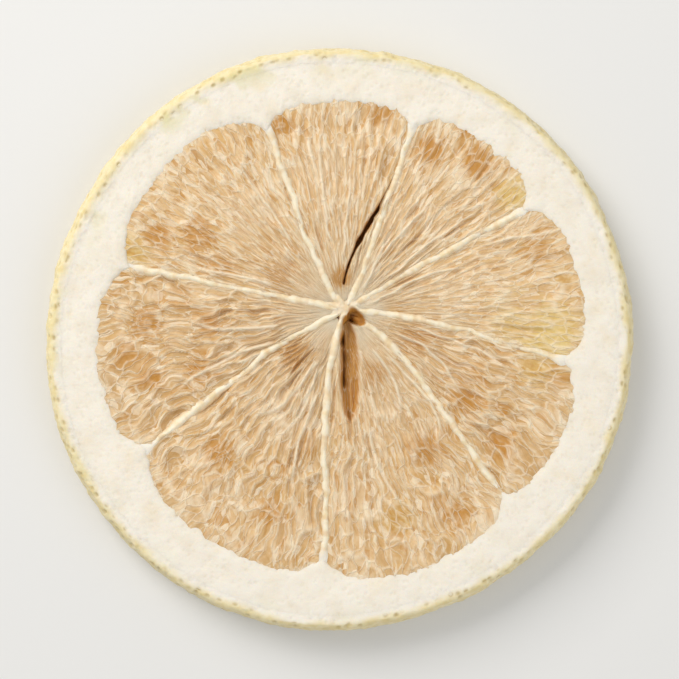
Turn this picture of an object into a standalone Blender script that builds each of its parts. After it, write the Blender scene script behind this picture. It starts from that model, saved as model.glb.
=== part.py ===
"""A freeze-dried lemon slice, lying flat with its cut face up.

The slice is one solid. Its rind and pith make a wheel, and the pulp has dried a little below the pith and
the membranes, on both cut faces. Three hollows open in the top face: a small hole beside the core, a seed
pocket that runs out from it, and a split where the pulp has shrunk away from one membrane. None of them
goes through. Metres, +Z up, with the origin at the middle of the underside.
Run it with blender --background --python part.py.
"""

import math

import bmesh
import bpy
from mathutils import Vector

MM = 0.001

# The wheel
RADIUS = 30.0 * MM  # over the rind, at the underside
THICKNESS = 4.6 * MM  # at the middle
TOP_TILT = 0.006  # rise of the top cut for each metre towards +X, as a knife seldom cuts parallel
RIM_SLANT = 0.9 * MM  # the top is this much smaller in radius, as the cut is off the lemon's middle
RIM_BULGE = 0.25 * MM  # how far the rind swells between its two edges
RIM_EDGE = 0.45 * MM  # rounding where the rind meets a cut face
EDGE_STEPS = 3
SIDE_STEPS = 5
RIM_POINTS = 120
# The outline's slow waves: (turns, share of the radius, phase)
OUTLINE_WAVES = ((2, 0.0060, 0.7), (3, 0.0045, 2.0), (5, 0.0028, 4.1), (11, 0.0012, 1.0))

# The pulp
CORE = Vector((0.6 * MM, 2.8 * MM))  # where the membranes meet
CORE_RADIUS = 1.8 * MM
PULP_CENTRE = Vector((0.25 * MM, 0.2 * MM))
PULP_RADIUS = 24.3 * MM
CORNER_DEPTH = 2.1 * MM  # how far the pith rounds off a segment's outer corners
CORNER_POWER = 6
TIP_DEPTH = 1.2 * MM
MEMBRANE_THICKNESS = 0.62 * MM
# Each membrane, anticlockwise: the direction of its outer end from the core and how far it turns towards
# the core, in degrees, then how much thicker the pith is over the segment that follows it
MEMBRANES = (
    (69.8, -4, 0.7 * MM),
    (113.0, 12, 0.0),
    (168.5, -4, 0.0),
    (214.5, -12, 0.2 * MM),
    (265.0, -14, 0.0),
    (311.0, 20, 0.3 * MM),
    (347.5, 13, 0.0),
    (389.5, 4, 0.3 * MM),
)

# The dried faces
TOP_SINK = 0.45 * MM  # at a segment's edge
UNDERSIDE_SINK = 0.45 * MM
CROWN = 0.5  # how much of the sink is made up at a segment's middle
VESICLE_RIDGE = 0.09 * MM
VESICLES_ACROSS = 3  # rows of vesicles side by side in each segment
RADIAL_CELLS = 12
ACROSS_CELLS = 11
CLEARANCE = 2.0 * MM  # how far a cutter stands out of the face that it cuts

# The deeper hollows. Each follows a path from near the core and is widest halfway. The path turns by its
# bend, most of it near the core.
HOLE = {
    "angle": 329,
    "bend": 0,
    "start": 0.3 * MM,
    "length": 2.1 * MM,
    "width": 1.75 * MM,
    "depth": 1.4 * MM,
}
POCKET = {
    "angle": 283,
    "bend": -10,
    "start": 0.3 * MM,
    "length": 11.0 * MM,
    "width": 2.3 * MM,
    "depth": 1.6 * MM,
}
SPLIT = {
    "angle": 92,
    "bend": -22.5,
    "start": 2.7 * MM,
    "length": 12.2 * MM,
    "width": 0.6 * MM,
    "depth": 1.8 * MM,
}
HOLLOW_POINTS = 28


def direction(degrees):
    return Vector((math.cos(math.radians(degrees)), math.sin(math.radians(degrees))))


def outline_radius(angle):
    """The rind's radius at an angle in radians, a circle with a lemon's slow waves."""
    waves = sum(share * math.sin(turns * angle + phase) for turns, share, phase in OUTLINE_WAVES)
    return RADIUS * (1 + waves)


def outline_middle():
    """The middle of the outline's own box, which becomes the origin."""
    points = [outline_radius(a) * direction(math.degrees(a)) for a in rim_angles()]
    xs = [p.x for p in points]
    ys = [p.y for p in points]
    return Vector(((min(xs) + max(xs)) / 2, (min(ys) + max(ys)) / 2))


def rim_angles():
    return [2 * math.pi * i / RIM_POINTS for i in range(RIM_POINTS)]


def top_height(point):
    return THICKNESS + TOP_TILT * point.x


def rim_profile():
    """(inset, share of the height) up the rind: rounded foot, slanted and swelling side, rounded top."""
    low, high = RIM_EDGE / THICKNESS, 1 - RIM_EDGE / THICKNESS
    quarter = [math.pi / 2 * i / EDGE_STEPS for i in range(EDGE_STEPS + 1)]
    foot = [(RIM_EDGE * (1 - math.sin(a)), low * (1 - math.cos(a))) for a in quarter]
    side = [(0.0, low + (high - low) * i / SIDE_STEPS) for i in range(1, SIDE_STEPS)]
    head = [(inset, 1 - share) for inset, share in reversed(foot)]
    profile = []
    for inset, share in foot + side + head:
        swelling = RIM_BULGE * 4 * share * (1 - share)
        profile.append((inset + RIM_SLANT * share - swelling, share))
    return profile


def reach(degrees):
    """How far the pulp's circle lies from the core in a direction."""
    along = direction(degrees)
    offset = CORE - PULP_CENTRE
    half = offset.dot(along)
    return -half + math.sqrt(half * half + PULP_RADIUS**2 - offset.length_squared)


def membrane_angle(index, share):
    """A membrane's direction from the core in degrees, at a share of the way out. It bends near the core."""
    turns, place = divmod(index, len(MEMBRANES))
    outer, bend, _ = MEMBRANES[place]
    return outer + 360 * turns + bend * (1 - share) ** 2


def segment_point(index, share, across):
    """A point in a pulp segment: share runs from core to pith, across from one membrane to the next."""
    edge = abs(2 * across - 1)
    half_wall = MEMBRANE_THICKNESS / 2
    inner = CORE_RADIUS + TIP_DEPTH * edge**2
    low, high = membrane_angle(index, share), membrane_angle(index + 1, share)
    pith_over = MEMBRANES[index][2] + CORNER_DEPTH * edge**CORNER_POWER
    outer = reach(low + (high - low) * across) - pith_over
    radius = inner + (outer - inner) * share
    wall = math.degrees(math.asin(half_wall / radius))
    return CORE + radius * direction(low + wall + (high - low - 2 * wall) * across)


def dried_depth(index, share, across, sink):
    """How far the dried pulp lies below its cut face: deepest at the edge, with ridges along the vesicles."""
    swell = math.sin(math.pi * share) ** 0.5 * math.sin(math.pi * across) ** 0.5
    wave = math.sin(math.pi * (2 * VESICLES_ACROSS * across + 0.7 * math.sin(5 * share + index)))
    ridge = VESICLE_RIDGE * wave * math.sin(math.pi * share)
    return sink * (1 - CROWN * swell) + ridge * sink / TOP_SINK


def material(name, colour, roughness):
    made = bpy.data.materials.new(name)
    made.use_nodes = True
    shader = made.node_tree.nodes["Principled BSDF"]
    shader.inputs["Base Color"].default_value = (*colour, 1.0)
    shader.inputs["Roughness"].default_value = roughness
    shader.inputs["Metallic"].default_value = 0.0
    return made


def new_object(name, mesh, *materials):
    made = bpy.data.objects.new(name, mesh)
    for one in materials:
        mesh.materials.append(one)
    bpy.context.scene.collection.objects.link(made)
    return made


def finished_mesh(name, bm):
    bmesh.ops.recalc_face_normals(bm, faces=bm.faces)
    if bm.calc_volume(signed=True) < 0:
        bmesh.ops.reverse_faces(bm, faces=bm.faces)
    mesh = bpy.data.meshes.new(name)
    bm.to_mesh(mesh)
    bm.free()
    return mesh


def make_wheel(middle, rind, pith):
    """The whole wheel before the pulp is sunk: loops of the rind's profile, closed by the two flat cuts."""
    bm = bmesh.new()
    levels = rim_profile()
    loop = bmesh.ops.create_circle(bm, segments=RIM_POINTS, radius=RADIUS)["verts"]
    angles = rim_angles()
    edges = list(bm.edges)
    for level, (inset, share) in enumerate(levels):
        if level:
            raised = bmesh.ops.extrude_edge_only(bm, edges=edges)["geom"]
            edges = [e for e in raised if isinstance(e, bmesh.types.BMEdge)]
            loop = [v for v in raised if isinstance(v, bmesh.types.BMVert)]
        for vertex, angle in zip(loop, angles, strict=True):
            spot = (outline_radius(angle) - inset) * direction(math.degrees(angle)) - middle
            vertex.co = (*spot, share * top_height(spot))
        if level == 0:
            bmesh.ops.contextual_create(bm, geom=edges)
    bmesh.ops.contextual_create(bm, geom=edges)
    for face in bm.faces:
        face.material_index = 1 if len(face.verts) > 4 else 0
    return new_object("lemon_slice", finished_mesh("lemon_slice", bm), rind, pith)


def add_recess(bm, index, middle, sink, top):
    """One segment's cutter: a grid that follows the dried pulp, extruded out past the cut face."""
    grid = bmesh.ops.create_grid(bm, x_segments=RADIAL_CELLS, y_segments=ACROSS_CELLS, size=0.5)["verts"]
    faces = list({face for vertex in grid for face in vertex.link_faces})
    spots = {v: (v.co.x + 0.5, v.co.y + 0.5) for v in grid}
    raised = bmesh.ops.extrude_face_region(bm, geom=faces)["geom"]
    for vertex in (v for v in raised if isinstance(v, bmesh.types.BMVert)):
        share, across = vertex.co.x + 0.5, vertex.co.y + 0.5
        point = segment_point(index, share, across) - middle
        vertex.co = (*point, top_height(point) + CLEARANCE if top else -CLEARANCE)
    for vertex, (share, across) in spots.items():
        point = segment_point(index, share, across) - middle
        depth = dried_depth(index, share, across, sink)
        vertex.co = (*point, top_height(point) - depth if top else depth)


def make_recesses(name, middle, sink, top, pulp):
    bm = bmesh.new()
    for index in range(len(MEMBRANES)):
        add_recess(bm, index, middle, sink, top)
    return new_object(name, finished_mesh(name, bm), pulp)


def make_hollow(name, hollow, middle, pulp):
    """A pointed, slightly bent cutter, sunk from above the top cut to the hollow's depth."""
    bm = bmesh.new()
    verts = bmesh.ops.create_circle(bm, segments=HOLLOW_POINTS, radius=1.0)["verts"]
    floor = bmesh.ops.contextual_create(bm, geom=verts)["faces"]
    raised = bmesh.ops.extrude_face_region(bm, geom=floor)["geom"]
    tops = {v for v in raised if isinstance(v, bmesh.types.BMVert)}
    for vertex in [*verts, *tops]:
        share = (1 - vertex.co.x) / 2
        distance = hollow["start"] + hollow["length"] * share
        aim = direction(hollow["angle"] + hollow["bend"] * share * (2 - share))
        side = Vector((-aim.y, aim.x)) * vertex.co.y * hollow["width"] / 2
        point = CORE + aim * distance + side - middle
        height = top_height(point)
        vertex.co = (*point, height + CLEARANCE if vertex in tops else height - hollow["depth"])
    return new_object(name, finished_mesh(name, bm), pulp)


def cut(wheel, cutter):
    cutter.hide_render = True
    cutter.display_type = "WIRE"
    boolean = wheel.modifiers.new(cutter.name, "BOOLEAN")
    boolean.operation = "DIFFERENCE"
    boolean.object = cutter
    boolean.material_mode = "TRANSFER"


def main():
    for old in list(bpy.data.objects):
        bpy.data.objects.remove(old)
    rind = material("rind", (0.78, 0.66, 0.25), 0.6)
    pith = material("pith", (0.87, 0.80, 0.66), 0.85)
    pulp = material("pulp", (0.68, 0.47, 0.26), 0.7)
    middle = outline_middle()
    wheel = make_wheel(middle, rind, pith)
    cut(wheel, make_recesses("top_recesses", middle, TOP_SINK, True, pulp))
    cut(wheel, make_recesses("underside_recesses", middle, UNDERSIDE_SINK, False, pulp))
    cut(wheel, make_hollow("seed_pocket", POCKET, middle, pulp))
    cut(wheel, make_hollow("core_hole", HOLE, middle, pulp))
    cut(wheel, make_hollow("pulp_split", SPLIT, middle, pulp))


main()
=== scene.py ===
import math

import bmesh
import bpy
import numpy as np
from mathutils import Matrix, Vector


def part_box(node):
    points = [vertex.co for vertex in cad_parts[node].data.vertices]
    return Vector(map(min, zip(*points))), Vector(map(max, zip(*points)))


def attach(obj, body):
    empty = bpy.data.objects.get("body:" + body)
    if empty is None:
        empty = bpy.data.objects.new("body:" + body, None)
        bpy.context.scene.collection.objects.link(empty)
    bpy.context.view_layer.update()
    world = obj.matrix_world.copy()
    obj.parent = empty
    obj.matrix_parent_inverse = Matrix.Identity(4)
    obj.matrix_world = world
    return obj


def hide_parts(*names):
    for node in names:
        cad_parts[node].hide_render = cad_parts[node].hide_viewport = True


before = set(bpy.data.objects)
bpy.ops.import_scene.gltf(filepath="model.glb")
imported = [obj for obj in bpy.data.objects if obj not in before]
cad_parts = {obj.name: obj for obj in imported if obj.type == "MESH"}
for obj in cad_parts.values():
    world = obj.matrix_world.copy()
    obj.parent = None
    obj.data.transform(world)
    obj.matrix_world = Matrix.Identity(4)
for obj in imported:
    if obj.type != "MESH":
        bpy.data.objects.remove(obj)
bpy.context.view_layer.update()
lowest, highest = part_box("lemon_slice")
print("solid loaded")

# All lengths in these dictionaries are millimetres; placePoints turns them into metres.
millimetre = 0.001

# The wheel's outline and section, as the solid has them. A wave is (turns, share of the radius, phase).
wheel = {
    "radius": 30.0,
    "thickness": 4.6,
    "tilt": 0.006,
    "slant": 0.9,
    "bulge": 0.25,
    "edge": 0.45,
    "waves": ((2, 0.0060, 0.7), (3, 0.0045, 2.0), (5, 0.0028, 4.1), (11, 0.0012, 1.0)),
    "outlinePoints": 120,
}

# Where the membranes run. Each is (outer direction from the core, turn towards the core, extra pith over the
# segment that follows it).
layout = {
    "core": (0.6, 2.8),
    "coreRadius": 1.8,
    "tipDepth": 1.2,
    "pulpCentre": (0.25, 0.2),
    "pulpRadius": 24.3,
    "cornerDepth": 2.1,
    "cornerPower": 6,
    "membranes": (
        (69.8, -4, 0.7),
        (113.0, 12, 0.0),
        (168.5, -4, 0.0),
        (214.5, -12, 0.2),
        (265.0, -14, 0.0),
        (311.0, 20, 0.3),
        (347.5, 13, 0.0),
        (389.5, 4, 0.3),
    ),
}
count = len(layout["membranes"])

# The hole beside the core, the seed pocket below it and the split: paths from near the core, widest halfway,
# that turn by their bend, most of it near the core. "soft" is the width of the sloping edge, and "wander" is
# how far the sides stray. A groove is (place across the opening, width, extra depth).
hole = {
    "angle": 329,
    "bend": 0,
    "start": 0.3,
    "length": 2.1,
    "width": 1.75,
    "depth": 1.3,
    "soft": 0.4,
    "wander": 0.25,
}
pocket = {
    "angle": 283,
    "bend": -10,
    "start": 0.3,
    "length": 11.0,
    "width": 2.3,
    "depth": 1.0,
    "soft": 0.5,
    "wander": 0.16,
    "groove": (-0.66, 0.25, 0.6),
}
split = {
    "angle": 92,
    "bend": -22.5,
    "start": 2.7,
    "length": 12.2,
    "width": 0.5,
    "depth": 1.4,
    "soft": 0.2,
    "wander": 0.1,
}


def smooth(value, low, high):
    share = np.clip((value - low) / (high - low), 0, 1)
    return share * share * (3 - 2 * share)


def scatter(i, j, k, seed):
    # one repeatable number from 0 to 1 for each whole-number place
    value = np.sin(i * 127.1 + j * 311.7 + k * 191.9 + seed * 74.7) * 43758.5453
    return value - np.floor(value)


def cloud(x, y, z, seed):
    # soft noise from -1 to 1, one lump to each unit
    i, j, k = np.floor(x), np.floor(y), np.floor(z)
    fx, fy, fz = (f * f * (3 - 2 * f) for f in (x - i, y - j, z - k))
    total = 0
    for di in (0, 1):
        for dj in (0, 1):
            for dk in (0, 1):
                weight = (fx if di else 1 - fx) * (fy if dj else 1 - fy) * (fz if dk else 1 - fz)
                total = total + weight * scatter(i + di, j + dj, k + dk, seed)
    return 2 * total - 1


def clouds(x, y, z, seed, layers=3):
    # finer and finer noise, brought back to about -1 to 1
    total = 0
    for layer in range(layers):
        scale = 2.0**layer
        total = total + cloud(x * scale, y * scale, z * scale, seed + 13 * layer) / scale
    return total / 1.6


def cells(u, v, seed, wrap=0):
    # distance to the nearest and second nearest scattered point, and the nearest point's own number
    loose = 0.85  # how far a point may stray inside its square
    iu, iv = np.floor(u), np.floor(v)
    nearest = np.full(np.shape(u), 9.0)
    second = nearest.copy()
    own = np.zeros(np.shape(u))
    for du in (-1, 0, 1):
        for dv in (-1, 0, 1):
            cu, cv = iu + du, iv + dv
            ku = cu % wrap if wrap else cu
            pu = cu + 0.5 + loose * (scatter(ku, cv, 0, seed) - 0.5)
            pv = cv + 0.5 + loose * (scatter(ku, cv, 1, seed) - 0.5)
            gap = np.hypot(u - pu, v - pv)
            closer = gap < nearest
            second = np.where(closer, nearest, np.minimum(second, gap))
            nearest = np.where(closer, gap, nearest)
            own = np.where(closer, scatter(ku, cv, 2, seed), own)
    return nearest, second, own


def outlineRadius(angle):
    waves = sum(share * np.sin(turns * angle + phase) for turns, share, phase in wheel["waves"])
    return wheel["radius"] * (1 + waves)


rimAngles = np.arange(wheel["outlinePoints"]) * 2 * math.pi / wheel["outlinePoints"]
rimX = outlineRadius(rimAngles) * np.cos(rimAngles)
rimY = outlineRadius(rimAngles) * np.sin(rimAngles)
middle = ((rimX.min() + rimX.max()) / 2, (rimY.min() + rimY.max()) / 2)
coreX, coreY = layout["core"][0] - middle[0], layout["core"][1] - middle[1]


def topHeight(x):
    return wheel["thickness"] + wheel["tilt"] * x


def reach(angle):
    # how far the pulp's circle lies from the core in a direction given in degrees
    offX = layout["core"][0] - layout["pulpCentre"][0]
    offY = layout["core"][1] - layout["pulpCentre"][1]
    half = offX * np.cos(np.radians(angle)) + offY * np.sin(np.radians(angle))
    return -half + np.sqrt(half * half + layout["pulpRadius"] ** 2 - offX**2 - offY**2)


def membraneAngle(index, share):
    turns, place = divmod(index, count)
    outer, bend, _ = layout["membranes"][place]
    return outer + 360 * turns + bend * (1 - share) ** 2


def openingDrop(x, y, opening):
    # how deep the opening is here, and how close this is to its lip
    away = np.hypot(x - coreX, y - coreY)
    angle = np.degrees(np.arctan2(y - coreY, x - coreX)) % 360
    share = np.clip((away - opening["start"]) / opening["length"], 0, 1)
    aim = opening["angle"] + opening["bend"] * share * (2 - share)
    aside = away * np.sin(np.radians(angle - aim))
    facing = np.cos(np.radians(angle - aim)) > 0
    wander = opening["wander"] * cloud(away * 1.1, aside * 0.7, aside * 0, 31)
    half = opening["width"] / 2 * np.sqrt(np.clip(1 - (2 * share - 1) ** 2, 0, 1))
    half = half + wander * (share > 0) * (share < 1)
    inside = smooth(half - np.abs(aside), -0.1, opening["soft"]) * facing * (half > 0.08)
    lip = np.exp(-(((np.abs(aside) - half) / 0.3) ** 2)) * facing * (half > 0.15)
    depth = opening["depth"] * inside
    if "groove" in opening:
        # a narrow furrow along one side, where the flesh has pulled away
        place, width, extra = opening["groove"]
        furrow = np.exp(-(((aside - place - wander) / width) ** 2)) * smooth(share, 0.12, 0.3)
        depth = depth + extra * furrow * smooth(1 - share, 0.1, 0.5) * (depth > 0.1)
    return depth, lip


def coreDrop(x, y):
    # the hole and the pocket together
    holeDepth, holeLip = openingDrop(x, y, hole)
    pocketDepth, pocketLip = openingDrop(x, y, pocket)
    return np.maximum(holeDepth, pocketDepth), np.maximum(holeLip, pocketLip)


def holePaintedShade(x, y, drop):
    # painted shade: the bottom of the hole is painted darker the deeper it is, in uneven patches
    return smooth(drop, 0.5, 1.2) * (0.35 + 0.7 * cloud(x / 0.45, y / 0.6, 0 * x, 33))


def coordinatesOf(mesh):
    flat = np.empty(len(mesh.vertices) * 3, np.float32)
    mesh.vertices.foreach_get("co", flat)
    return flat.reshape(-1, 3).astype(float)


def placePoints(mesh, x, y, z):
    points = np.stack((x, y, z), axis=1) * millimetre
    mesh.vertices.foreach_set("co", points.astype(np.float32).ravel())
    mesh.update()


def paint(mesh, *channels):
    # four shares from 0 to 1 at each point, which the material reads as a colour
    layer = mesh.attributes.new("shade", "FLOAT_COLOR", "POINT")
    four = [np.clip(channel, 0, 1) * np.ones(len(mesh.vertices)) for channel in channels]
    layer.data.foreach_set("color", np.stack(four, axis=1).astype(np.float32).ravel())


def layOut(mesh, u, v):
    # where each point lies among the vesicles, in millimetres across and along them
    layer = mesh.attributes.new("fan", "FLOAT_VECTOR", "POINT")
    layer.data.foreach_set("vector", np.stack((u, v, 0 * u), axis=1).astype(np.float32).ravel())


def finishPiece(name, mesh, material):
    piece = bpy.data.objects.new(name, mesh)
    bpy.context.scene.collection.objects.link(piece)
    mesh.materials.append(material)
    bm = bmesh.new()
    bm.from_mesh(mesh)
    bmesh.ops.recalc_face_normals(bm, faces=bm.faces)
    bm.to_mesh(mesh)
    bm.free()
    mesh.shade_smooth()
    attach(piece, "root")
    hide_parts("lemon_slice")
    print("made", name, len(mesh.polygons))
    return piece


def meshFrom(bm, name):
    mesh = bpy.data.meshes.new(name)
    bm.to_mesh(mesh)
    bm.free()
    return mesh


def slabMesh(name, along, across):
    # a double sheet closed round its border, 1 wide each way, its top at 1 and its underside at 0
    bm = bmesh.new()
    bmesh.ops.create_grid(bm, x_segments=along, y_segments=across, size=0.5)
    raised = bmesh.ops.extrude_face_region(bm, geom=bm.faces[:])["geom"]
    bmesh.ops.translate(bm, verts=[v for v in raised if isinstance(v, bmesh.types.BMVert)], vec=(0, 0, 1))
    return meshFrom(bm, name)


def ringMesh(name, around, section):
    # a sheet rolled into a torus and welded, to be given its own section
    bm = bmesh.new()
    bmesh.ops.create_grid(bm, x_segments=around, y_segments=section, size=0.5)
    for vertex in bm.verts:
        azimuth, turn = (2 * math.pi * (side + 0.5) for side in vertex.co.xy)
        out = 1 + 0.5 * math.cos(turn)
        vertex.co = (out * math.cos(azimuth), out * math.sin(azimuth), 0.5 * math.sin(turn))
    bmesh.ops.remove_doubles(bm, verts=bm.verts, dist=0.00002)
    return meshFrom(bm, name)


def ringPlaces(mesh):
    # each point's direction round the ring, and its share of the way round the section, which starts at the
    # middle of the inner wall and goes over the top
    co = coordinatesOf(mesh)
    azimuth = np.arctan2(co[:, 1], co[:, 0])
    turn = np.arctan2(co[:, 2], np.hypot(co[:, 0], co[:, 1]) - 1)
    return azimuth, ((math.pi - turn) % (2 * math.pi)) / (2 * math.pi)


def ballMesh(name, around, along):
    bm = bmesh.new()
    bmesh.ops.create_uvsphere(bm, u_segments=around, v_segments=along, radius=1)
    return meshFrom(bm, name)


def linear(red, green, blue):
    # a colour as a screen shows it, from 0 to 255, turned to a light value
    shares = (c / 255 for c in (red, green, blue))
    return (*(s / 12.92 if s <= 0.04045 else ((s + 0.055) / 1.055) ** 2.4 for s in shares), 1.0)


def addNode(tree, kind, **settings):
    node = tree.nodes.new(kind)
    for key, value in settings.items():
        setattr(node, key, value)
    return node


def mixColours(tree, factor, first, second):
    node = addNode(tree, "ShaderNodeMix", data_type="RGBA")
    for socket, value in ((node.inputs[0], factor), (node.inputs[6], first), (node.inputs[7], second)):
        if isinstance(value, bpy.types.NodeSocket):
            tree.links.new(value, socket)
        else:
            socket.default_value = value
    return node.outputs[2]


def rampOf(tree, value, low, high, top=1.0):
    node = addNode(tree, "ShaderNodeMapRange", interpolation_type="SMOOTHSTEP")
    tree.links.new(value, node.inputs["Value"])
    node.inputs["From Min"].default_value = low
    node.inputs["From Max"].default_value = high
    node.inputs["To Max"].default_value = top
    return node.outputs["Result"]


def grain(tree, scale, detail):
    # noise on the piece's own coordinates; scale counts lumps in a metre
    where = addNode(tree, "ShaderNodeTexCoord")
    noise = addNode(tree, "ShaderNodeTexNoise")
    noise.inputs["Scale"].default_value = scale
    noise.inputs["Detail"].default_value = detail
    tree.links.new(where.outputs["Object"], noise.inputs["Vector"])
    return noise.outputs["Fac"]


softTint = (1.0, 0.75, 0.5)  # how far red, green and blue light spread in the dried fruit


def startMaterial(name, look):
    # the channels are the four painted shares
    made = bpy.data.materials.new(name)
    made.use_nodes = True
    tree = made.node_tree
    shader = tree.nodes["Principled BSDF"]
    shader.inputs["Roughness"].default_value = look["roughness"]
    shader.inputs["Subsurface Weight"].default_value = look["soft"]
    shader.inputs["Subsurface Radius"].default_value = softTint
    shader.inputs["Subsurface Scale"].default_value = look["softDepth"] * millimetre
    shader.inputs["Specular IOR Level"].default_value = look["sheen"]
    shade = addNode(tree, "ShaderNodeAttribute", attribute_name="shade")
    parts = addNode(tree, "ShaderNodeSeparateColor")
    tree.links.new(shade.outputs["Color"], parts.inputs["Color"])
    channels = [parts.outputs["Red"], parts.outputs["Green"], parts.outputs["Blue"], shade.outputs["Alpha"]]
    bump = addNode(tree, "ShaderNodeBump")
    bump.inputs["Distance"].default_value = look["bump"] * millimetre
    bump.inputs["Strength"].default_value = look["bumpStrength"]
    tree.links.new(grain(tree, look["bumpScale"], 4), bump.inputs["Height"])
    tree.links.new(bump.outputs["Normal"], shader.inputs["Normal"])
    return made, tree, shader, channels


def fanPlace(tree, width, length):
    # the vesicle coordinates, so that one cell is this wide and this long in millimetres
    place = addNode(tree, "ShaderNodeAttribute", attribute_name="fan")
    scaled = addNode(tree, "ShaderNodeMapping")
    scaled.inputs["Scale"].default_value = (1 / width, 1 / length, 1)
    tree.links.new(place.outputs["Vector"], scaled.inputs["Vector"])
    return scaled.outputs["Vector"]


def sacs(tree, width, length, feature):
    voronoi = addNode(tree, "ShaderNodeTexVoronoi", voronoi_dimensions="2D", feature=feature)
    voronoi.inputs["Scale"].default_value = 1
    tree.links.new(fanPlace(tree, width, length), voronoi.inputs["Vector"])
    return voronoi


def fibres(tree, width, length, detail):
    noise = addNode(tree, "ShaderNodeTexNoise", noise_dimensions="2D")
    noise.inputs["Scale"].default_value = 1
    noise.inputs["Detail"].default_value = detail
    noise.inputs["Distortion"].default_value = 0.3
    tree.links.new(fanPlace(tree, width, length), noise.inputs["Vector"])
    return noise.outputs["Fac"]


def addUp(tree, *terms):
    # the sum of (socket, share) terms
    total = None
    for socket, share in terms:
        part = addNode(tree, "ShaderNodeMath", operation="MULTIPLY_ADD")
        tree.links.new(socket, part.inputs[0])
        part.inputs[1].default_value = share
        part.inputs[2].default_value = 0
        if total is not None:
            tree.links.new(total, part.inputs[2])
        total = part.outputs[0]
    return total


pulpLook = {
    "flesh": linear(236, 200, 150),
    "fleshPale": linear(239, 214, 176),
    "fleshDark": linear(213, 173, 117),
    # painted shade in the vesicles' hollows and along the sunk streaks, also each segment's darker tone
    "hollowShadeAndTone": linear(189, 145, 86),
    "wall": linear(249, 232, 203),
    "stain": linear(195, 135, 50),
    # reached only at the bottom of the openings and down the split: painted shade
    "brown": linear(132, 82, 26),
    "khaki": linear(225, 194, 112),
    "amber": linear(219, 171, 96),
    "roughness": 0.6,
    "sheen": 0.35,
    "soft": 0.2,
    "softDepth": 1.2,
    "bump": 0.16,
    "bumpStrength": 0.75,
    "bumpScale": 4200,
    "sac": (0.6, 2.0),
    "fleck": (0.34, 0.9),
    "fibre": (0.28, 1.3),
}


def pulpMaterial():
    look = pulpLook
    made, tree, shader, (hollowShadeAndTone, wall, brown, khaki) = startMaterial("driedPulp", look)
    edge = sacs(tree, *look["sac"], "DISTANCE_TO_EDGE").outputs["Distance"]
    own = addNode(tree, "ShaderNodeSeparateColor")
    tree.links.new(sacs(tree, *look["sac"], "F1").outputs["Color"], own.inputs["Color"])
    flecks = addNode(tree, "ShaderNodeSeparateColor")
    tree.links.new(sacs(tree, *look["fleck"], "F1").outputs["Color"], flecks.inputs["Color"])
    streak = fibres(tree, *look["fibre"], 5)
    crumb = grain(tree, 2200, 5)
    # thin pale skins between the small sacs, broken up by the crumb
    skin = rampOf(tree, addUp(tree, (edge, -1.0), (crumb, 0.2)), 0.0, 0.10, 0.45)
    stains = addUp(tree, (brown, 1.0), (streak, 0.5), (crumb, 0.5))
    khakis = addUp(tree, (khaki, 1.0), (streak, 0.5), (crumb, 0.5))
    mottled = rampOf(tree, grain(tree, 620, 5), 0.36, 0.68, 0.6)
    colour = mixColours(tree, mottled, look["flesh"], look["fleshDark"])
    # each coat lies over the ones before it
    coats = (
        (rampOf(tree, grain(tree, 210, 4), 0.48, 0.66, 0.7), "fleshPale"),
        (rampOf(tree, own.outputs["Red"], 0.35, 1.0, 0.55), "fleshDark"),
        # painted shade along the streaks that the bump sinks
        (rampOf(tree, streak, 0.5, 0.75, 0.55), "hollowShadeAndTone"),
        (rampOf(tree, own.outputs["Green"], 0.6, 1.0, 0.5), "amber"),
        # painted shade in the vesicles' hollows, with each segment's own tone
        (hollowShadeAndTone, "hollowShadeAndTone"),
        (rampOf(tree, flecks.outputs["Red"], 0.8, 0.95, 0.55), "stain"),
        (rampOf(tree, flecks.outputs["Green"], 0.74, 0.92, 0.6), "wall"),
        (rampOf(tree, streak, 0.46, 0.28, 0.45), "wall"),
        (rampOf(tree, khakis, 0.55, 1.35, 0.8), "khaki"),
        (rampOf(tree, stains, 0.52, 1.05, 0.9), "stain"),
        (skin, "wall"),
        (wall, "wall"),
        # painted shade at the bottom of the openings and in the split
        (rampOf(tree, brown, 0.62, 0.95), "brown"),
    )
    for amount, coat in coats:
        colour = mixColours(tree, amount, colour, look[coat])
    tree.links.new(colour, shader.inputs["Base Color"])
    relief = addUp(tree, (skin, 0.9), (streak, -0.8), (crumb, 0.7))
    tree.links.new(relief, tree.nodes["Bump"].inputs["Height"])
    return made


peelLook = {
    "pith": linear(244, 236, 221),
    "pithShade": linear(233, 221, 199),
    "zest": linear(236, 222, 180),
    "zestShade": linear(227, 208, 152),
    # the rind's oil glands' own colour, also painted a little into the pith's pores as painted shade
    "glandsAndPoreShade": linear(174, 148, 80),
    "inner": linear(240, 220, 184),
    "green": linear(222, 212, 146),
    "roughness": 0.75,
    "sheen": 0.3,
    "soft": 0.2,
    "softDepth": 1.2,
    "bump": 0.1,
    "bumpStrength": 0.5,
    "bumpScale": 3400,
}


def peelMaterial(name, changes):
    look = {**peelLook, **changes}
    made, tree, shader, (zest, glandsAndPoreShade, inner, green) = startMaterial(name, look)
    mottled = rampOf(tree, grain(tree, 420, 5), 0.4, 0.72, 0.5)
    pith = mixColours(tree, mottled, look["pith"], look["pithShade"])
    yellow = mixColours(tree, rampOf(tree, grain(tree, 900, 4), 0.35, 0.7), look["zest"], look["zestShade"])
    colour = mixColours(tree, zest, pith, yellow)
    for amount, coat in ((green, "green"), (inner, "inner"), (glandsAndPoreShade, "glandsAndPoreShade")):
        colour = mixColours(tree, amount, colour, look[coat])
    tree.links.new(colour, shader.inputs["Base Color"])
    return made


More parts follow.
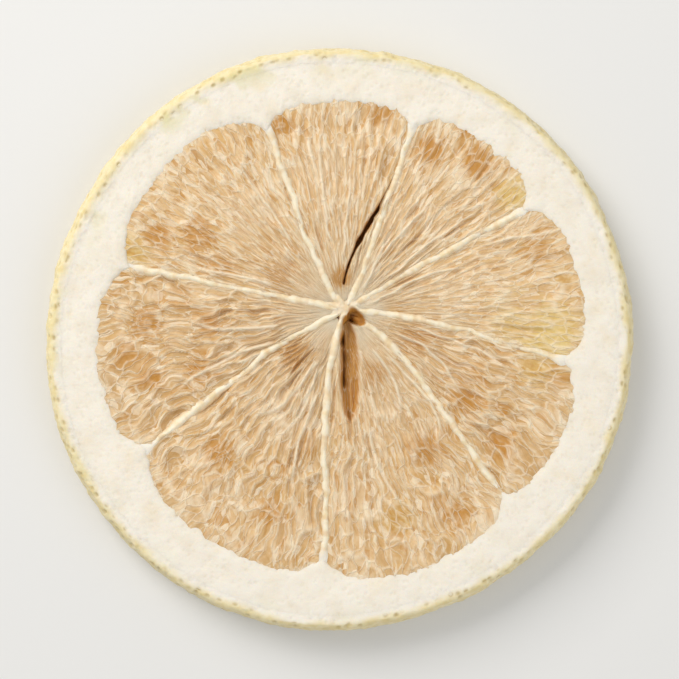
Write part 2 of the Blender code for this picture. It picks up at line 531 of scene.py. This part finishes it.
membraneLook = {
    "skin": linear(249, 234, 206),
    "skinShade": linear(238, 214, 172),
    "foot": linear(227, 194, 146),
    "stained": linear(204, 146, 66),
    # painted shade at the bottom of the hole
    "dark": linear(112, 66, 22),
    "roughness": 0.55,
    "sheen": 0.4,
    "soft": 0.25,
    "softDepth": 0.8,
    "bump": 0.06,
    "bumpStrength": 0.5,
    "bumpScale": 3800,
}


def membraneMaterial():
    look = membraneLook
    made, tree, shader, (foot, brown, pale, dark) = startMaterial("driedMembrane", look)
    mottled = rampOf(tree, grain(tree, 1100, 4), 0.4, 0.7)
    colour = mixColours(tree, mottled, look["skin"], look["skinShade"])
    colour = mixColours(tree, foot, colour, look["foot"])
    colour = mixColours(tree, pale, colour, peelLook["pith"])
    colour = mixColours(tree, brown, colour, look["stained"])
    # painted shade deep in the hole
    colour = mixColours(tree, dark, colour, look["dark"])
    tree.links.new(colour, shader.inputs["Base Color"])
    return made


# Each segment from the narrow top one anticlockwise; width and length are one vesicle's. A place is its
# distance from the core and its direction in degrees. A spot has a place, a size and its brown, khaki and
# pale shares. A ring has a place and a size. A fold runs from one place to another, with a bow in degrees
# and a half width.
pulp = {
    "along": 150,
    "across": 104,
    "topSink": 0.45,
    "undersideSink": 0.45,
    "crown": 0.55,
    "atPith": 0.14,
    "underPith": 0.9,
    "underMembrane": -0.15,
    "thinnest": 0.5,
    "ringPitch": 1.15,
    "foldHeight": 0.20,
    "cream": ((0.62, 4.0), (0.28, 9.0)),  # (share, size) of the pale flesh round the core
    "segments": (
        {
            "width": 1.1, "length": 6.0, "swirl": 0.4, "relief": 0.75, "pale": 0.5, "tone": 0.0,
            "spots": (
                (20.9, 79, 1.8, 0.5, 0, 0), (3.4, 96, 1.3, 0.6, 0.3, 0), (14, 98, 4.0, 0, 0, 0.25),
                (19.8, 108.5, 1.0, 0.85, 0, 0),
            ),
            "rings": ((19.8, 108.5, 1.1),),
            "folds": ((6, 101, 19, 97, 1.5, 0.16), (5, 92, 15, 88, -1.5, 0.14)),
        },
        {
            "width": 0.95, "length": 4.5, "swirl": 0.45, "relief": 0.65, "pale": 0.4, "tone": 0.04,
            "spots": (
                (16.6, 152.5, 1.7, 0.85, 0, 0), (20.4, 157, 1.5, 0.6, 0, 0), (22.5, 164, 1.6, 0.3, 0.9, 0),
                (7.6, 151, 2.0, 0.35, 0, 0), (13.2, 160, 1.6, 0.45, 0, 0), (14, 135, 4.0, 0, 0, 0.3),
            ),
            "rings": (),
            "folds": ((7, 158, 17, 163, 2, 0.16), (8, 128, 20, 126, -1, 0.14)),
        },
        {
            "width": 1.4, "length": 3.8, "swirl": 1.1, "relief": 0.95, "pale": 0.2, "tone": 0.26,
            "spots": (
                (20, 182.5, 1.4, 0.75, 0, 0), (13.6, 186, 1.4, 0.55, 0, 0), (20.5, 199, 1.3, 0.75, 0, 0),
                (22.4, 190, 1.2, 0.4, 0, 0), (16, 201, 1.8, 0.45, 0, 0),
            ),
            "rings": ((20, 182.5, 1.8), (20.3, 199, 1.4)),
            "folds": ((6, 190, 17, 180, 4, 0.18), (7, 203, 20, 207, -3, 0.18)),
        },
        {
            "width": 1.3, "length": 4.2, "swirl": 0.9, "relief": 0.9, "pale": 0.35, "tone": 0.2,
            "spots": (
                (6.6, 220, 1.8, 0.6, 0, 0), (12, 236, 3.5, 0, 0, 0.3), (19, 228, 1.8, 0.55, 0, 0),
                (22, 250, 1.6, 0.45, 0, 0), (14, 255, 1.5, 0.4, 0.2, 0),
            ),
            "rings": ((17.5, 246, 1.3),),
            "folds": ((5, 240, 15, 226, 5, 0.18), (5, 246, 17, 238, 4, 0.17), (8, 252, 20, 255, -3, 0.16)),
        },
        {
            "width": 1.3, "length": 5.0, "swirl": 0.8, "relief": 0.85, "pale": 0.3, "tone": 0.14,
            "spots": (
                (16, 301, 1.8, 0.6, 0, 0), (21, 284, 2.0, 0.3, 0.5, 0), (11, 293, 3.0, 0, 0, 0.3),
                (23, 299, 1.5, 0.5, 0, 0), (7, 296, 1.4, 0.45, 0, 0),
            ),
            "rings": (),
            "folds": ((4, 305, 13, 294, 6, 0.17), (5, 314, 18, 305, 4, 0.16), (11, 281, 22, 290, -3, 0.16)),
        },
        {
            "width": 1.2, "length": 4.6, "swirl": 0.8, "relief": 0.85, "pale": 0.35, "tone": 0.2,
            "spots": (
                (8, 340, 1.6, 0.5, 0, 0), (20, 343, 2.2, 0.25, 0.6, 0), (15, 325, 2.0, 0.5, 0, 0),
                (21, 320, 1.5, 0.45, 0, 0),
            ),
            "rings": ((18.5, 328, 1.2),),
            "folds": ((5, 337, 15, 322, 5, 0.17), (6, 346, 19, 338, 3, 0.15)),
        },
        {
            "width": 1.1, "length": 5.2, "swirl": 0.4, "relief": 0.55, "pale": 0.45, "tone": 0.0,
            "spots": (
                (21, 353, 3.4, 0, 0.85, 0), (17, 357, 3.0, 0, 0.5, 0), (5.5, 352, 1.2, 0.6, 0.3, 0),
                (11.3, 372, 4.0, 0, 0, 0.4), (20.5, 378, 1.8, 0.45, 0.3, 0), (22, 369, 1.4, 0.3, 0.5, 0),
            ),
            "rings": (),
            "folds": (
                (16.5, 385, 24, 380, 0, 0.16), (19, 369.5, 24, 369, 1, 0.15), (5, 383, 14, 379, 2, 0.15),
                (2.4, 379, 8.5, 384.5, 0, 0.17),
            ),
        },
        {
            "width": 1.0, "length": 5.6, "swirl": 0.4, "relief": 0.7, "pale": 0.4, "tone": 0.0,
            "spots": (
                (20.9, 35.4, 1.8, 0.2, 0.9, 0), (20.4, 48.8, 1.6, 0.75, 0, 0), (18.3, 62, 1.4, 0.65, 0, 0),
                (22, 56, 1.2, 0.5, 0, 0), (10, 55, 3.5, 0, 0, 0.3),
            ),
            "rings": (),
            "folds": (
                (19, 61, 22.5, 64.5, 0, 0.22), (5, 38, 16, 36, 2, 0.15), (6, 58, 17, 52, -2, 0.14),
                (2.4, 52, 9.5, 63.5, 0, 0.17),
            ),
        },
    ),
}


def pithOver(place, across):
    # the extra pith over a segment, eased at both ends to meet its neighbours
    here = layout["membranes"][place % count][2]
    before = layout["membranes"][(place - 1) % count][2]
    after = layout["membranes"][(place + 1) % count][2]
    start = (here + before) / 2 + (here - before) / 2 * smooth(across, 0, 0.12)
    return start + (after - here) / 2 * smooth(across, 0.88, 1.0)


def pulpLimit(place, across, low, high):
    edge = np.abs(2 * across - 1)
    bite = layout["cornerDepth"] * edge ** layout["cornerPower"]
    return reach(low + (high - low) * across) - pithOver(place, across) - bite


def distanceTo(x, y, away, aim):
    # the distance from a place given by its own distance and direction from the core
    spotX = coreX + away * math.cos(math.radians(aim))
    spotY = coreY + away * math.sin(math.radians(aim))
    return np.hypot(x - spotX, y - spotY)


def pulpRelief(place, x, y, side):
    # (height, share of painted shade in the vesicles' hollows with the segment's own tone added, wall share,
    # place across the vesicles, place along them) of the dried flesh
    look = pulp["segments"][place]
    away = np.hypot(x - coreX, y - coreY)
    outer = layout["membranes"][place][0]
    degrees = (np.degrees(np.arctan2(y - coreY, x - coreX)) - outer + 60) % 360 + outer - 60
    seed = 11 * place + side
    bend = look["swirl"]
    fan = np.radians(degrees) * 19 + bend * 1.1 * clouds(x / 3.4, y / 3.4, 0 * x, seed + 1)
    run = away + bend * 1.6 * clouds(x / 3.1 + 9, y / 3.1, 0 * x, seed + 2)
    nearest, second, own = cells(fan / look["width"], run / look["length"], seed + 3)
    seam = second - nearest
    wall = np.exp(-((seam / 0.12) ** 2))
    bowl = smooth(seam, 0.04, 0.7)
    fineNearest, fineSecond, fineOwn = cells(fan * 2.1 / look["width"], run * 2.2 / look["length"], seed + 4)
    fineWall = np.exp(-(((fineSecond - fineNearest) / 0.16) ** 2))
    crumb = clouds(x / 0.8, y / 0.8, 0 * x, seed + 6)
    fade = smooth(away, 1.5, 8.0)
    torn = smooth(own, 0.75, 0.95)
    height = 0.13 * wall - (0.05 + 0.18 * own + 0.22 * torn) * bowl + 0.05 * fineWall * (0.3 + fineOwn)
    height = fade * height
    height = look["relief"] * height + 0.035 * crumb + 0.14 * clouds(x / 3.2, y / 3.2, 0 * x, seed + 7)
    # painted shade: each vesicle's hollow is painted darker as it sinks, torn ones most
    hollowShadeAndTone = fade * bowl * (0.05 + 0.6 * own**1.5) * (0.8 + 0.5 * crumb)
    # the segment's own tone joins the same share
    hollowShadeAndTone = hollowShadeAndTone + look["tone"] * (1 + crumb)
    line = np.maximum(wall * 0.62, 0.32 * fineWall * fineOwn) * fade * (0.55 + look["pale"])
    line = line * (0.75 + 0.5 * crumb)
    return height, hollowShadeAndTone, line, fan, run


def addSpots(look, x, y, ragged, hollowShadeAndTone, line):
    # stains and pale patches with ragged edges, as brown and khaki shares
    brown, khaki = 0 * x, 0 * x
    for away, aim, size, dark, yellow, pale in look["spots"]:
        near = np.exp(-((distanceTo(x, y, away, aim) / (size * ragged)) ** 2))
        brown, khaki = np.maximum(brown, dark * near), np.maximum(khaki, yellow * near)
        hollowShadeAndTone, line = hollowShadeAndTone * (1 - pale * near), np.maximum(line, 0.6 * pale * near)
    return brown, khaki, hollowShadeAndTone, line


def addRings(look, x, y, height, line, brown):
    # swirls of rings where the vesicles dried round one place
    warped = 0.8 * clouds(x / 1.5, y / 1.5, 0 * x, 63)
    for away, aim, size in look["rings"]:
        apart = distanceTo(x, y, away, aim) + warped
        near = 0.6 * smooth(size - apart, -0.3, 0.5)
        ripple = np.cos(apart * 2 * math.pi / pulp["ringPitch"])
        height = height * (1 - near) + near * (0.07 * ripple - 0.12)
        line = line * (1 - near) + near * 0.5 * smooth(ripple, 0.3, 1)
        brown = np.maximum(brown, near * 0.7 * smooth(-ripple, -0.2, 0.8))
    return height, line, brown


def addFolds(look, place, x, y, angle, height, line):
    away = np.hypot(x - coreX, y - coreY)
    wander = 0.18 * cloud(away / 1.4, 0 * x, 0 * x, 66 + place)
    for startAway, startAim, endAway, endAim, bow, half in look["folds"]:
        part = (away - startAway) / (endAway - startAway)
        aim = startAim + (endAim - startAim) * part + bow * np.sin(math.pi * part)
        aside = away * np.radians((np.degrees(angle) - aim + 180) % 360 - 180) + wander
        ridge = np.exp(-((aside / half) ** 2)) * smooth(part, 0, 0.15) * smooth(1 - part, 0, 0.3)
        height, line = height + pulp["foldHeight"] * ridge, np.maximum(line, 0.85 * ridge)
    return height, line


def makePulp(place, material):
    mesh = slabMesh(f"pulp_{place + 1}", pulp["along"], pulp["across"])
    co = coordinatesOf(mesh)
    share, across, top = co[:, 0] + 0.5, co[:, 1] + 0.5, co[:, 2] > 0.5
    across = across - 0.045 * np.sin(2 * math.pi * across)  # finer cells beside the membranes
    low, high = membraneAngle(place, share), membraneAngle(place + 1, share)
    edge = np.abs(2 * across - 1)
    inner = layout["coreRadius"] * 0.55 + layout["tipDepth"] * edge**2
    outer = pulpLimit(place, across, low, high) + pulp["underPith"]
    radius = inner + (outer - inner) * share
    margin = np.degrees(pulp["underMembrane"] / radius)
    angle = np.radians(low + margin + (high - low - 2 * margin) * across)
    x, y = coreX + radius * np.cos(angle), coreY + radius * np.sin(angle)

    look = pulp["segments"][place]
    heightTop, shadeAndToneTop, lineTop, fan, run = pulpRelief(place, x, y, 0)
    heightLow, shadeAndToneLow, lineLow, fanLow, runLow = pulpRelief(place, x, y, 5)
    ragged = 1 + 0.6 * clouds(fan / 0.8, run / 2.2, 0 * x, 60 + place)
    brown, khaki, shadeAndToneTop, lineTop = addSpots(look, x, y, ragged, shadeAndToneTop, lineTop)
    heightTop, lineTop, brown = addRings(look, x, y, heightTop, lineTop, brown)
    heightTop, lineTop = addFolds(look, place, x, y, angle, heightTop, lineTop)
    # the flesh pales to cream towards the core
    cream = sum(most * np.exp(-((radius / size) ** 2)) for most, size in pulp["cream"])
    cream = cream * (0.85 + 0.3 * cloud(x / 1.3, y / 1.3, 0 * x, 68))
    cream = cream * (1 - np.minimum(1, 1.4 * (brown + khaki)))
    shadeAndToneTop, lineTop = shadeAndToneTop * (1 - cream), np.maximum(lineTop, cream)
    shadeAndToneLow, lineLow = shadeAndToneLow * (1 - cream), np.maximum(lineLow, cream)

    drop, lip = coreDrop(x, y)
    gap, gapLip = openingDrop(x, y, split)
    strand = cloud(x / 0.3, y / 2.4, 0 * x, 71)
    atPith = smooth(share, 0.82, 0.96)
    swell = np.sqrt(np.clip(np.sin(0.92 * math.pi * share) * np.sin(math.pi * across), 0, 1))
    crowned = 1 - pulp["crown"] * swell
    sink = pulp["topSink"] * crowned - pulp["atPith"] * atPith
    heightTop = topHeight(x) - sink + heightTop * (1 - 0.6 * atPith) + 0.08 * (lip + gapLip)
    heightTop = heightTop - drop * (1 + 0.3 * strand) - gap
    heightLow = pulp["undersideSink"] * crowned - 0.6 * heightLow + 0.05
    heightTop = np.maximum(heightTop, heightLow + pulp["thinnest"])
    # the hole and pocket turn browner the deeper they go, their own brown with painted shade over it; the
    # split is painted brown down its depth as painted shade
    depthBrownAndShade, splitPaintedShade = smooth(drop, 0.15, 1.0), smooth(gap, 0.2, 1.2)
    # the fibre streaks, with painted shade added at the very bottom
    fibre = 0.52 + 0.24 * strand + 0.5 * smooth(drop, 1.15, 1.6)
    brownTop = np.maximum(np.minimum(brown, 0.6), np.maximum(depthBrownAndShade * fibre, splitPaintedShade))
    placePoints(mesh, x, y, np.where(top, heightTop, np.maximum(heightLow, 0.04)))
    layOut(mesh, np.where(top, fan, fanLow + 90), np.where(top, run, runLow))
    # the pale lines give way inside the openings; the third share carries the stains and the painted shade in
    # the openings
    paint(
        mesh,
        np.where(top, shadeAndToneTop, shadeAndToneLow),
        np.where(top, lineTop * (1 - np.maximum(depthBrownAndShade, splitPaintedShade)), lineLow),
        np.where(top, brownTop, 0.2 * brown),
        np.where(top, khaki, 0.3 * khaki),
    )
    return finishPiece(mesh.name, mesh, material)


peel = {
    "band": 1.35,
    "overlap": 0.35,
    "hidden": 0.5,
    "pithAround": 960,
    "pithSection": 88,
    "rindAround": 1180,
    "rindSection": 66,
    "roll": 0.26,
    "rollLength": 0.5,
    "glandsAround": 185,
    "glandPitch": 1.02,
}


def peelSkin(x, y, side):
    # (height, pore share) of the dried white, with soft lumps and pores
    lumps = 0.07 * clouds(x / 2.6, y / 2.6, 0 * x, 80 + side)
    lumps = lumps + 0.03 * clouds(x / 0.8, y / 0.8, 0 * x, 81 + side)
    nearest, _, own = cells(x / 0.55, y / 0.55, 82 + side)
    pore = smooth(0.42 - nearest, 0, 0.3) * smooth(own, 0.45, 0.9)
    return lumps - 0.06 * pore, pore


def peelTint(x, y):
    # (yellow share, green share) by distance from the rim, with more of both at the upper left
    wheelX, wheelY = x + middle[0], y + middle[1]
    azimuth = np.arctan2(wheelY, wheelX)
    inset = outlineRadius(azimuth) - np.hypot(wheelX, wheelY)
    upperLeft = np.exp(-((((np.degrees(azimuth) - 128 + 180) % 360 - 180) / 34) ** 2))
    wander = 0.45 * clouds(x / 1.9, y / 1.9, 0 * x, 90)
    yellow = 1 - smooth(inset + wander, 0.9, 1.9 + 0.5 * upperLeft)
    patches = smooth(clouds(x / 2.4 + 5, y / 2.4, 0 * x, 91), 0.05, 0.5)
    green = (1 - smooth(inset, 1.0, 4.6)) * (0.6 * upperLeft + 0.12) * patches
    return yellow, green


def pithLimits(azimuth):
    # how far from the core the pith starts, over the pulp's edge, and how far out it goes under the rind
    degrees = np.degrees(azimuth) % 360
    limit = 0 * azimuth
    for place in range(count):
        low, high = membraneAngle(place, 1.0), membraneAngle(place + 1, 1.0)
        lifted = (degrees - low) % 360 + low
        across = np.clip((lifted - low) / (high - low), 0, 1)
        limit = np.where(lifted < high, pulpLimit(place, across, low, high), limit)
    limit = limit + 0.14 * cloud(degrees / 2.2, 0 * limit, 0 * limit, 77)
    limit = limit + 0.08 * cloud(degrees / 0.9, 0 * limit, 0 * limit, 78)
    outer = limit + 5.0
    for _ in range(5):
        # closer each time to the ring where rind and pith overlap
        px = layout["core"][0] + outer * np.cos(azimuth)
        py = layout["core"][1] + outer * np.sin(azimuth)
        aim = outlineRadius(np.arctan2(py, px)) - peel["band"] + peel["overlap"]
        outer = outer + aim - np.hypot(px, py)
    return limit, outer


def makePith(material):
    mesh = ringMesh("pith", peel["pithAround"], peel["pithSection"])
    azimuth, turn = ringPlaces(mesh)
    limit, outer = pithLimits(azimuth)
    # the section: up the inner wall, out over the top, down the outer wall and back along the underside
    knots = [0, 0.03, 0.10, 0.46, 0.54, 0.90, 0.97, 1]
    share = np.interp(turn, knots, [0, 0, 0, 1, 1, 0, 0, 0])
    level = np.interp(turn, knots, [0.5, 0.75, 1, 1, 0, 0, 0.25, 0.5])
    lean = 0.9 * np.minimum(1 - level, level) * (share == 0)
    radius = limit + (outer - limit) * share - lean
    x, y = coreX + radius * np.cos(azimuth), coreY + radius * np.sin(azimuth)
    fromInner = (outer - limit) * share
    fromOuter = (outer - limit) * (1 - share)
    roll = peel["roll"] * np.exp(-fromInner / peel["rollLength"]) + 0.3 * np.exp(-((fromOuter / 0.22) ** 2))
    topSkin, topPore = peelSkin(x, y, 0)
    lowSkin, lowPore = peelSkin(x, y, 4)
    ceiling = topHeight(x) - 0.02 - roll + topSkin
    floor = np.maximum(0.03 + 0.6 * roll - 0.5 * lowSkin, 0.01)
    z = floor + (ceiling - floor) * level
    yellow, green = peelTint(x, y)
    bruise = 0.25 * smooth(clouds(x / 1.7, y / 1.7, 0 * x, 95), 0.25, 0.7)
    degrees = np.degrees(azimuth) % 360
    inner = np.exp(-fromInner / 0.3) * (0.35 + 0.3 * cloud(degrees / 1.3, 0 * x, 0 * x, 79))
    inner = inner + (share == 0) * (level < 0.98) * 0.5
    pore = np.maximum(topPore * (level == 1), lowPore * (level == 0))
    placePoints(mesh, x, y, z)
    # the pores are painted a little darker with the gland colour: painted shade in the pits
    paint(mesh, yellow, 0.10 * pore, np.maximum(inner, bruise), green)
    return finishPiece("pith", mesh, material)


def rindSection(turn):
    # round the section: inset from the outline, share of the height, and how far the surface faces out and up
    edge, band = wheel["edge"], peel["band"] + peel["hidden"]
    rise = edge / wheel["thickness"]
    corner = [math.pi / 2 * i / 4 for i in range(5)]
    path = [(band, 0.5, 0, 0), (band, 0.95, 0, 0), (band - 0.1, 1, 0, 1)]
    for a in corner:
        path.append((edge * (1 - math.sin(a)), 1 - rise * (1 - math.cos(a)), math.sin(a), math.cos(a)))
    path.append((0, 0.5, 1, 0))
    for a in corner:
        path.append((edge * (1 - math.cos(a)), rise * (1 - math.sin(a)), math.cos(a), -math.sin(a)))
    path += [(band - 0.1, 0, 0, -1), (band, 0.05, 0, 0), (band, 0.5, 0, 0)]
    stops = [0, 0.03, 0.05, 0.24, 0.27, 0.30, 0.33, 0.36, 0.5, 0.64, 0.67, 0.70, 0.73, 0.76, 0.95, 0.97, 1]
    return (np.interp(turn, stops, list(column)) for column in zip(*path))


def makeRind(material):
    mesh = ringMesh("rind", peel["rindAround"], peel["rindSection"])
    azimuth, turn = ringPlaces(mesh)
    inset, level, outward, upward = rindSection(turn)
    swelling = wheel["slant"] * level - wheel["bulge"] * 4 * level * (1 - level)
    # oil glands, laid out round the rim and along the section
    run = np.interp(turn, [0, 0.05, 0.24, 0.36, 0.64, 0.76, 0.95, 1], [0, 0.2, 1.7, 2.5, 6.3, 7.1, 8.6, 8.8])
    u = azimuth / (2 * math.pi) * peel["glandsAround"]
    nearest, _, own = cells(u, run / peel["glandPitch"], 101, peel["glandsAround"])
    pit = smooth(0.37 - nearest, 0, 0.26) * smooth(own, 0.15, 0.6)
    edgeX, edgeY = outlineRadius(azimuth) * np.cos(azimuth), outlineRadius(azimuth) * np.sin(azimuth)
    lumps = clouds(edgeX / 1.5, edgeY / 1.5, run / 1.5, 102)
    fine = clouds(edgeX / 0.5, edgeY / 0.5, run / 0.5, 103)
    wrinkle = clouds(edgeX / 0.9, edgeY / 0.9, run / 4.5, 104)
    swell = 0.16 * lumps + 0.05 * fine + 0.12 * wrinkle - 0.14 * pit
    swell = swell + 0.04 * np.exp(-(((nearest - 0.45) / 0.12) ** 2))
    side = outward / np.maximum(np.hypot(outward, upward), 1e-6)
    radius = outlineRadius(azimuth) - inset - swelling + side * (swell - 0.05)
    x, y = radius * np.cos(azimuth) - middle[0], radius * np.sin(azimuth) - middle[1]
    deepest = peel["band"] + peel["hidden"]
    hidden = smooth(inset, deepest - 0.65, deepest)
    topSkin, _ = peelSkin(x, y, 0)
    lowSkin, _ = peelSkin(x, y, 4)
    rim = (1 - smooth(inset, 0.3, 1.4)) * (0.07 + 0.07 * lumps)
    ceiling = topHeight(x) - 0.02 + topSkin - 0.4 * hidden + rim - 0.05 * pit * (upward > 0.5)
    floor = np.maximum(0.03 - 0.5 * lowSkin + 0.35 * hidden + 0.08 * pit, 0.01)
    z = floor + (ceiling - floor) * level
    yellow, green = peelTint(x, y)
    yellow = np.maximum(yellow, smooth(side, 0.15, 0.6))
    placePoints(mesh, x, y, z)
    dark = pit * (0.25 + 0.55 * own) * np.where(side > 0.4, 0.6, smooth(yellow, 0.2, 0.7))
    paint(mesh, yellow, dark, 0, green * (1 - side))
    return finishPiece("rind", mesh, material)


membrane = {
    "stations": 170,
    "around": 30,
    "half": 0.19,
    "start": 0.6,
    "intoPith": 1.6,
    "wobble": 0.221,
    "crest": 0.19,
}


def makeMembrane(place, material):
    mesh = ballMesh(f"membrane_{place + 1}", membrane["around"], membrane["stations"])
    co = coordinatesOf(mesh)
    along = np.arccos(np.clip(-co[:, 2], -1, 1)) / math.pi
    turn = np.arctan2(co[:, 1], co[:, 0])
    outer, bend, _ = layout["membranes"][place]
    far = float(reach(outer)) + membrane["intoPith"]
    radius = membrane["start"] + (far - membrane["start"]) * along
    limit = far - membrane["intoPith"] - layout["cornerDepth"]
    share = np.clip((radius - layout["coreRadius"]) / (limit - layout["coreRadius"]), 0, 1)
    seed = 120 + 3 * place
    calm = smooth(along, 0.02, 0.2) * (1 - smooth(along, 0.8, 0.95))
    aside = calm * membrane["wobble"] * clouds(radius / 3.1, 0 * radius, 0 * radius, seed)
    aside = aside + 0.07 * calm * cloud(radius / 0.9, 0 * radius, 0 * radius, seed + 5)
    # the section: upright round the loop, a narrow crest, a foot where the pulp meets it
    up, flat = np.sin(turn), np.cos(turn)
    depthKnots = [0, 0.25, 0.5, 0.7, 0.85, 0.95, 1]
    drop = np.interp(np.abs(up), depthKnots, [2.2, 1.3, 0.52, 0.22, 0.08, 0.02, 0])
    width = np.interp(np.abs(up), depthKnots, [0.6, 0.9, 2.9, 1.8, 1.15, 0.7, 0])
    flare = 1 + 0.15 * (1 - smooth(radius, 1.5, 5.0)) + 2.6 * smooth(radius, limit - 1.2, limit + 1.8)
    uneven = 1 + 0.5 * clouds(radius / 1.1, up * 0.8 + np.sign(flat), 0 * radius, seed + 1)
    closing = np.sqrt(np.clip(np.sin(math.pi * along) * 6, 0, 1))
    half = membrane["half"] * width * flare * uneven * closing * np.sign(flat)
    angle = np.radians(outer + bend * (1 - share) ** 2)
    side = aside + half
    x = coreX + radius * np.cos(angle) - side * np.sin(angle)
    y = coreY + radius * np.sin(angle) + side * np.cos(angle)
    crest = 0.15 * clouds(radius / 2.0, 0 * radius, 0 * radius, seed + 2) - membrane["crest"]
    crest = crest - 0.45 * smooth(radius, limit + 0.6, limit + 2.0)
    opened, _ = coreDrop(x, y)
    ceiling = topHeight(x) + crest + 0.03 * cloud(x / 0.5, y / 0.5, 0 * x, seed) - drop - 0.9 * opened
    floor = np.maximum(0.05 + drop * 0.8 - 0.5 * crest, 0.02)
    z = np.where(up >= 0, np.maximum(ceiling, 2.3), np.minimum(floor, 2.2))
    placePoints(mesh, x, y, z)
    foot = smooth(drop, 0.1, 0.45) * (0.75 + 0.3 * cloud(radius / 0.9, side, 0 * radius, seed))
    foot = np.maximum(foot, 0.55 * smooth(clouds(radius / 0.8, 0 * radius, 0 * radius, seed + 4), 0.1, 0.6))
    pale = smooth(radius, limit - 1.5, limit + 0.8)
    above = up > 0
    # the last share is painted shade deep in the hole
    paint(mesh, foot * (1 - pale), above * smooth(opened, 0.1, 0.7), pale, above * holePaintedShade(x, y, opened))
    return finishPiece(mesh.name, mesh, material)


heart = {
    "around": 200,
    "rings": 90,
    "offset": (0.2, 0.3),
    "radii": (2.0, 1.6),
    "crest": 0.24,
    "armLength": 0.9,
    "armWidth": 13,
}


def makeCore(material):
    mesh = ballMesh("core", heart["around"], heart["rings"])
    co = coordinatesOf(mesh)
    flat = np.hypot(co[:, 0], co[:, 1])
    azimuth = np.arctan2(co[:, 1], co[:, 0])
    share = 1 - (1 - np.clip(flat, 0, 1)) ** 0.8
    ragged = 0.8 + 0.3 * clouds(np.cos(azimuth) * 2.2, np.sin(azimuth) * 2.2, 0 * azimuth, 140)
    for place in range(count):
        # an arm along each membrane
        apart = (np.degrees(azimuth) - membraneAngle(place, 0.1) + 180) % 360 - 180
        ragged = ragged + heart["armLength"] * np.exp(-((apart / heart["armWidth"]) ** 2))
    x = coreX + heart["offset"][0] + heart["radii"][0] * share * np.cos(azimuth) * ragged
    y = coreY + heart["offset"][1] + heart["radii"][1] * share * np.sin(azimuth) * ragged
    opened, lip = coreDrop(x, y)
    skin = 0.16 * clouds(x / 0.9, y / 0.9, 0 * x, 141) + 0.05 * cloud(x / 0.3, y / 0.3, 0 * x, 142)
    fall = 0.3 * share**2 + 0.7 * share**8
    ceiling = topHeight(x) - heart["crest"] + skin - fall - 0.95 * opened + 0.06 * lip
    floor = np.maximum(0.08 - 0.5 * skin + 0.6 * share**6, 0.02)
    z = np.where(co[:, 2] >= 0, np.maximum(ceiling, 1.2), floor)
    z = np.where(share > 0.985, 2.2, z)
    placePoints(mesh, x, y, z)
    stain = 0.3 + 0.5 * smooth(clouds(x / 0.9, y / 0.9, 0 * x, 143), -0.1, 0.6)
    foot = np.maximum(stain, smooth(share, 0.55, 1) * 0.6)
    above = co[:, 2] > 0
    # the last share is painted shade deep in the hole
    paint(mesh, foot, above * smooth(opened, 0.05, 0.6), 0.1, above * holePaintedShade(x, y, opened))
    return finishPiece("core", mesh, material)


rindFinish = peelMaterial("driedRind", {"roughness": 0.6, "sheen": 0.4})
pithFinish = peelMaterial("driedPith", {})
pulpFinish = pulpMaterial()
membraneFinish = membraneMaterial()
print("materials ready")

makeRind(rindFinish)
makePith(pithFinish)
for place in range(count):
    makePulp(place, pulpFinish)
    makeMembrane(place, membraneFinish)
makeCore(membraneFinish)
print("slice ready")

# Lengths here are metres.
studio = {
    "floorSide": 3.0,
    "floorColour": linear(232, 231, 228),
    "floorShade": linear(222, 221, 218),
    "world": (0.98, 0.99, 1.0, 1.0),
    "worldStrength": 0.50,
    # (name, place, size, power, colour)
    "lamps": (
        ("key", (-0.25, 0.28, 0.29), 0.28, 1.65, (1.0, 0.975, 0.94)),
        ("fill", (0.36, -0.22, 0.40), 0.45, 0.8, (0.96, 0.975, 1.0)),
    ),
    "lens": 85,
    "sensor": 36,
    "across": 0.0682,  # how much of the floor the camera takes in at the slice's top
}


def makeFloor():
    bm = bmesh.new()
    bmesh.ops.create_grid(bm, x_segments=1, y_segments=1, size=studio["floorSide"] / 2)
    mesh = meshFrom(bm, "floor")
    floor = bpy.data.objects.new("floor", mesh)
    bpy.context.scene.collection.objects.link(floor)
    made = bpy.data.materials.new("floorPaint")
    made.use_nodes = True
    tree = made.node_tree
    shader = tree.nodes["Principled BSDF"]
    shader.inputs["Roughness"].default_value = 0.85
    cloudy = rampOf(tree, grain(tree, 3, 2), 0.3, 0.7, 0.15)
    tone = mixColours(tree, cloudy, studio["floorColour"], studio["floorShade"])
    tree.links.new(tone, shader.inputs["Base Color"])
    mesh.materials.append(made)


def makeLamps():
    for name, place, size, power, colour in studio["lamps"]:
        light = bpy.data.lights.new(name, "AREA")
        light.size = size
        light.energy = power
        light.color = colour
        lamp = bpy.data.objects.new(name, light)
        bpy.context.scene.collection.objects.link(lamp)
        lamp.location = place
        lamp.rotation_euler = (-lamp.location).to_track_quat("-Z", "Y").to_euler()
    world = bpy.data.worlds.new("studio")
    world.use_nodes = True
    background = world.node_tree.nodes["Background"]
    background.inputs["Color"].default_value = studio["world"]
    background.inputs["Strength"].default_value = studio["worldStrength"]
    bpy.context.scene.world = world


def makeCamera():
    lens = bpy.data.cameras.new("camera")
    lens.lens = studio["lens"]
    lens.sensor_width = studio["sensor"]
    camera = bpy.data.objects.new("camera", lens)
    bpy.context.scene.collection.objects.link(camera)
    distance = studio["across"] * studio["lens"] / studio["sensor"]
    centre = (lowest + highest) / 2
    camera.location = (centre.x, centre.y, highest.z + distance)
    bpy.context.scene.camera = camera


makeFloor()
makeLamps()
makeCamera()
bpy.context.scene.view_settings.view_transform = "Standard"
print("studio ready")
